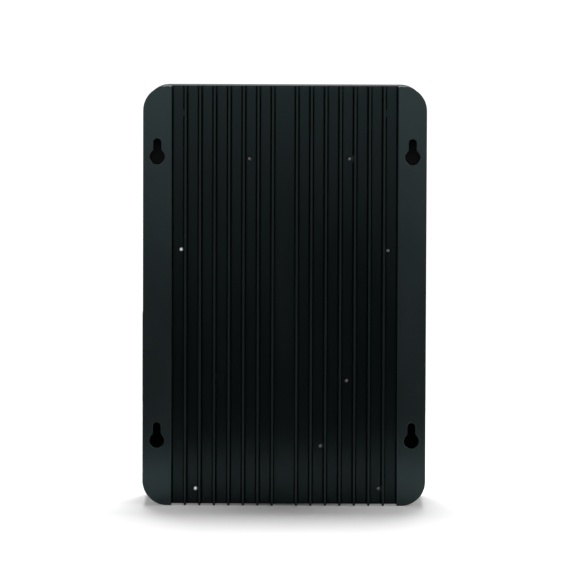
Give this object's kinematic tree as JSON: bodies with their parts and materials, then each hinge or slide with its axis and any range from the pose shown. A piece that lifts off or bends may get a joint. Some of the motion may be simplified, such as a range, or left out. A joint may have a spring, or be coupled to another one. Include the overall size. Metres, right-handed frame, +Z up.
{
  "type": "solar charge controller",
  "caption": "Wall-mounted solar charge controller: finned heatsink back with keyhole flanges, display and buttons in front, lift-off cover over screw terminals.",
  "frame": {"origin": "centre of the four mounting keyholes, on the plane of the rear flanges that lies against the wall", "axes": "+Z up, the display faces -Y, +Y points into the wall, +X to the right when facing the display"},
  "size_m": [0.1808, 0.072, 0.267],
  "materials": {
    "anodised_heatsink": "satin black anodised, faintly teal",
    "cover_plastic": "fine moulded texture, charcoal",
    "fascia_film": "satin printed film",
    "display_lens": "clear acrylic",
    "bezel_plastic": "matte black",
    "lcd_glass": "grey-green liquid crystal cell",
    "backlight_plastic": "white diffuser",
    "button_plastic": "soft dark grey",
    "switch_plastic": "black with steel lid",
    "light_pipe": "clear polycarbonate",
    "led_resin": "clear resin",
    "circuit_board": "green solder mask",
    "screw_steel": "zinc plated",
    "radio_can": "tinned shield",
    "connector_plastic": "black nylon",
    "ribbon_plastic": "grey ribbon",
    "post_brass": "nickel plated",
    "thermal_pad": "grey-blue silicone",
    "device_resin": "black epoxy",
    "spring_steel": "spring steel",
    "ferrite": "green coated powder core",
    "copper": "enamelled and bare copper",
    "capacitor_can": "sleeved aluminium can",
    "fuse_plastic": "clear amber",
    "shunt_metal": "manganin",
    "terminal_plastic": "green polyamide",
    "socket_plastic": "black polyamide",
    "sensor_plastic": "green polyamide",
    "cage_brass": "nickel plated brass"
  },
  "bodies": {
    "root": {"heatsink": "anodised_heatsink", "front_cover": "cover_plastic", "fascia_panel": "fascia_film", "display_lens": "display_lens", "display_bezel": "bezel_plastic", "lcd_glass": "lcd_glass", "lcd_backlight": "backlight_plastic", "button_switches": "switch_plastic", "light_pipes": "light_pipe", "status_leds": "led_resin", "display_board": "circuit_board", "display_board_screws": "screw_steel", "radio_module": "radio_can", "ribbon_plugs": "connector_plastic", "ribbon_cable": "ribbon_plastic", "main_board": "circuit_board", "board_posts": "post_brass", "board_screws": "screw_steel", "thermal_pads": "thermal_pad", "power_transistors": "device_resin", "clamp_bars": "spring_steel", "clamp_bar_screws": "screw_steel", "choke_cores": "ferrite", "choke_windings": "copper", "input_capacitors": "capacitor_can", "output_capacitors": "capacitor_can", "fuse_holders": "connector_plastic", "blade_fuses": "fuse_plastic", "current_shunts": "shunt_metal", "control_chips": "device_resin", "terminal_block": "terminal_plastic", "terminal_bars": "copper", "data_socket": "socket_plastic", "sensor_socket": "sensor_plastic", "front_cover_screws": "screw_steel", "earth_washer": "post_brass", "earth_screw": "screw_steel"},
    "terminal_cover": {"terminal_cover": "cover_plastic", "terminal_cover_screws": "screw_steel"},
    "button_back": {"button_back": "button_plastic"},
    "button_down": {"button_down": "button_plastic"},
    "button_up": {"button_up": "button_plastic"},
    "button_enter": {"button_enter": "button_plastic"},
    "terminal_screw_1": {"terminal_screw_1": "screw_steel"},
    "terminal_cage_1": {"terminal_cage_1": "cage_brass"},
    "terminal_screw_2": {"terminal_screw_2": "screw_steel"},
    "terminal_cage_2": {"terminal_cage_2": "cage_brass"},
    "terminal_screw_3": {"terminal_screw_3": "screw_steel"},
    "terminal_cage_3": {"terminal_cage_3": "cage_brass"},
    "terminal_screw_4": {"terminal_screw_4": "screw_steel"},
    "terminal_cage_4": {"terminal_cage_4": "cage_brass"},
    "terminal_screw_5": {"terminal_screw_5": "screw_steel"},
    "terminal_cage_5": {"terminal_cage_5": "cage_brass"},
    "terminal_screw_6": {"terminal_screw_6": "screw_steel"},
    "terminal_cage_6": {"terminal_cage_6": "cage_brass"}
  },
  "joints": [
    {"name": "terminal_cover_lift", "type": "slide", "parent": "root", "child": "terminal_cover", "axis": [0, -1, 0], "range_m": [0, 0.08]},
    {"name": "button_back_press", "type": "slide", "parent": "root", "child": "button_back", "axis": [0, 1, 0], "range_m": [0, 0.0006], "stiffness_N_per_m": 2500},
    {"name": "button_down_press", "type": "slide", "parent": "root", "child": "button_down", "axis": [0, 1, 0], "range_m": [0, 0.0006], "stiffness_N_per_m": 2500},
    {"name": "button_up_press", "type": "slide", "parent": "root", "child": "button_up", "axis": [0, 1, 0], "range_m": [0, 0.0006], "stiffness_N_per_m": 2500},
    {"name": "button_enter_press", "type": "slide", "parent": "root", "child": "button_enter", "axis": [0, 1, 0], "range_m": [0, 0.0006], "stiffness_N_per_m": 2500},
    {"name": "terminal_cage_1_rise", "type": "slide", "parent": "root", "child": "terminal_cage_1", "axis": [0, -1, 0], "range_m": [0, 0.006]},
    {"name": "terminal_screw_1_turn", "type": "hinge", "parent": "root", "child": "terminal_screw_1", "pos_m": [-0.0522, -0.0584, -0.0754], "axis": [0, 1, 0], "range_deg": [0, 2702]},
    {"name": "terminal_cage_2_rise", "type": "slide", "parent": "root", "child": "terminal_cage_2", "axis": [0, -1, 0], "range_m": [0, 0.006]},
    {"name": "terminal_screw_2_turn", "type": "hinge", "parent": "root", "child": "terminal_screw_2", "pos_m": [-0.0366, -0.0584, -0.0754], "axis": [0, 1, 0], "range_deg": [0, 2702]},
    {"name": "terminal_cage_3_rise", "type": "slide", "parent": "root", "child": "terminal_cage_3", "axis": [0, -1, 0], "range_m": [0, 0.006]},
    {"name": "terminal_screw_3_turn", "type": "hinge", "parent": "root", "child": "terminal_screw_3", "pos_m": [-0.021, -0.0584, -0.0754], "axis": [0, 1, 0], "range_deg": [0, 2702]},
    {"name": "terminal_cage_4_rise", "type": "slide", "parent": "root", "child": "terminal_cage_4", "axis": [0, -1, 0], "range_m": [0, 0.006]},
    {"name": "terminal_screw_4_turn", "type": "hinge", "parent": "root", "child": "terminal_screw_4", "pos_m": [-0.0054, -0.0584, -0.0754], "axis": [0, 1, 0], "range_deg": [0, 2702]},
    {"name": "terminal_cage_5_rise", "type": "slide", "parent": "root", "child": "terminal_cage_5", "axis": [0, -1, 0], "range_m": [0, 0.006]},
    {"name": "terminal_screw_5_turn", "type": "hinge", "parent": "root", "child": "terminal_screw_5", "pos_m": [0.0102, -0.0584, -0.0754], "axis": [0, 1, 0], "range_deg": [0, 2702]},
    {"name": "terminal_cage_6_rise", "type": "slide", "parent": "root", "child": "terminal_cage_6", "axis": [0, -1, 0], "range_m": [0, 0.006]},
    {"name": "terminal_screw_6_turn", "type": "hinge", "parent": "root", "child": "terminal_screw_6", "pos_m": [0.0258, -0.0584, -0.0754], "axis": [0, 1, 0], "range_deg": [0, 2702]}
  ],
  "couplings": [
    {"joint": "terminal_screw_1_turn", "follows": "terminal_cage_1_rise", "rad_per_m": 7854},
    {"joint": "terminal_screw_2_turn", "follows": "terminal_cage_2_rise", "rad_per_m": 7854},
    {"joint": "terminal_screw_3_turn", "follows": "terminal_cage_3_rise", "rad_per_m": 7854},
    {"joint": "terminal_screw_4_turn", "follows": "terminal_cage_4_rise", "rad_per_m": 7854},
    {"joint": "terminal_screw_5_turn", "follows": "terminal_cage_5_rise", "rad_per_m": 7854},
    {"joint": "terminal_screw_6_turn", "follows": "terminal_cage_6_rise", "rad_per_m": 7854}
  ]
}
